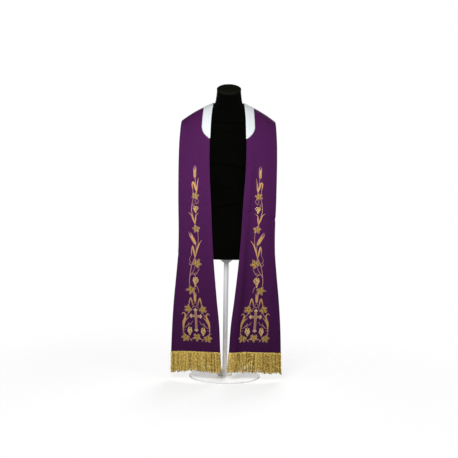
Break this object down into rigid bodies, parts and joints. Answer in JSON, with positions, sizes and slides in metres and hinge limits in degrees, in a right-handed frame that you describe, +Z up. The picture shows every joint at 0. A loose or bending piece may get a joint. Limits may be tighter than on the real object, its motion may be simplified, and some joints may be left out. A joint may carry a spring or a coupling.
{
  "type": "clerical stole on a dress form",
  "caption": "Flared cloth stole with a collar guard and fringed ends, worn open on a limbless dress form that stands on a pole and a round foot.",
  "frame": {"origin": "centre of the foot's flat underside, on the floor under the pole", "axes": "+Z up, the form faces -Y, +X to the right of someone looking at its front"},
  "size_m": [0.5129, 0.33, 1.3564],
  "materials": {
    "purple_cloth": "firm plain-woven purple cloth with a low sheen, with gold thread embroidery",
    "white_cotton": "white cotton with a small worked edge",
    "gold_fringe": "twisted gold rayon bullion fringe with a woven heading",
    "black_jersey": "matt black knitted jersey stretched over the form",
    "dark_cap": "dark lacquer, satin",
    "white_enamel": "white powder coat"
  },
  "bodies": {
    "root": {"stole_left_half": "purple_cloth", "stole_right_half": "purple_cloth", "neck_guard": "white_cotton", "fringe_left": "gold_fringe", "fringe_right": "gold_fringe", "form_torso": "black_jersey", "neck_cap": "dark_cap", "stand_pole": "white_enamel", "stand_foot": "white_enamel", "stand_boss": "white_enamel", "stand_socket": "white_enamel"}
  },
  "joints": []
}
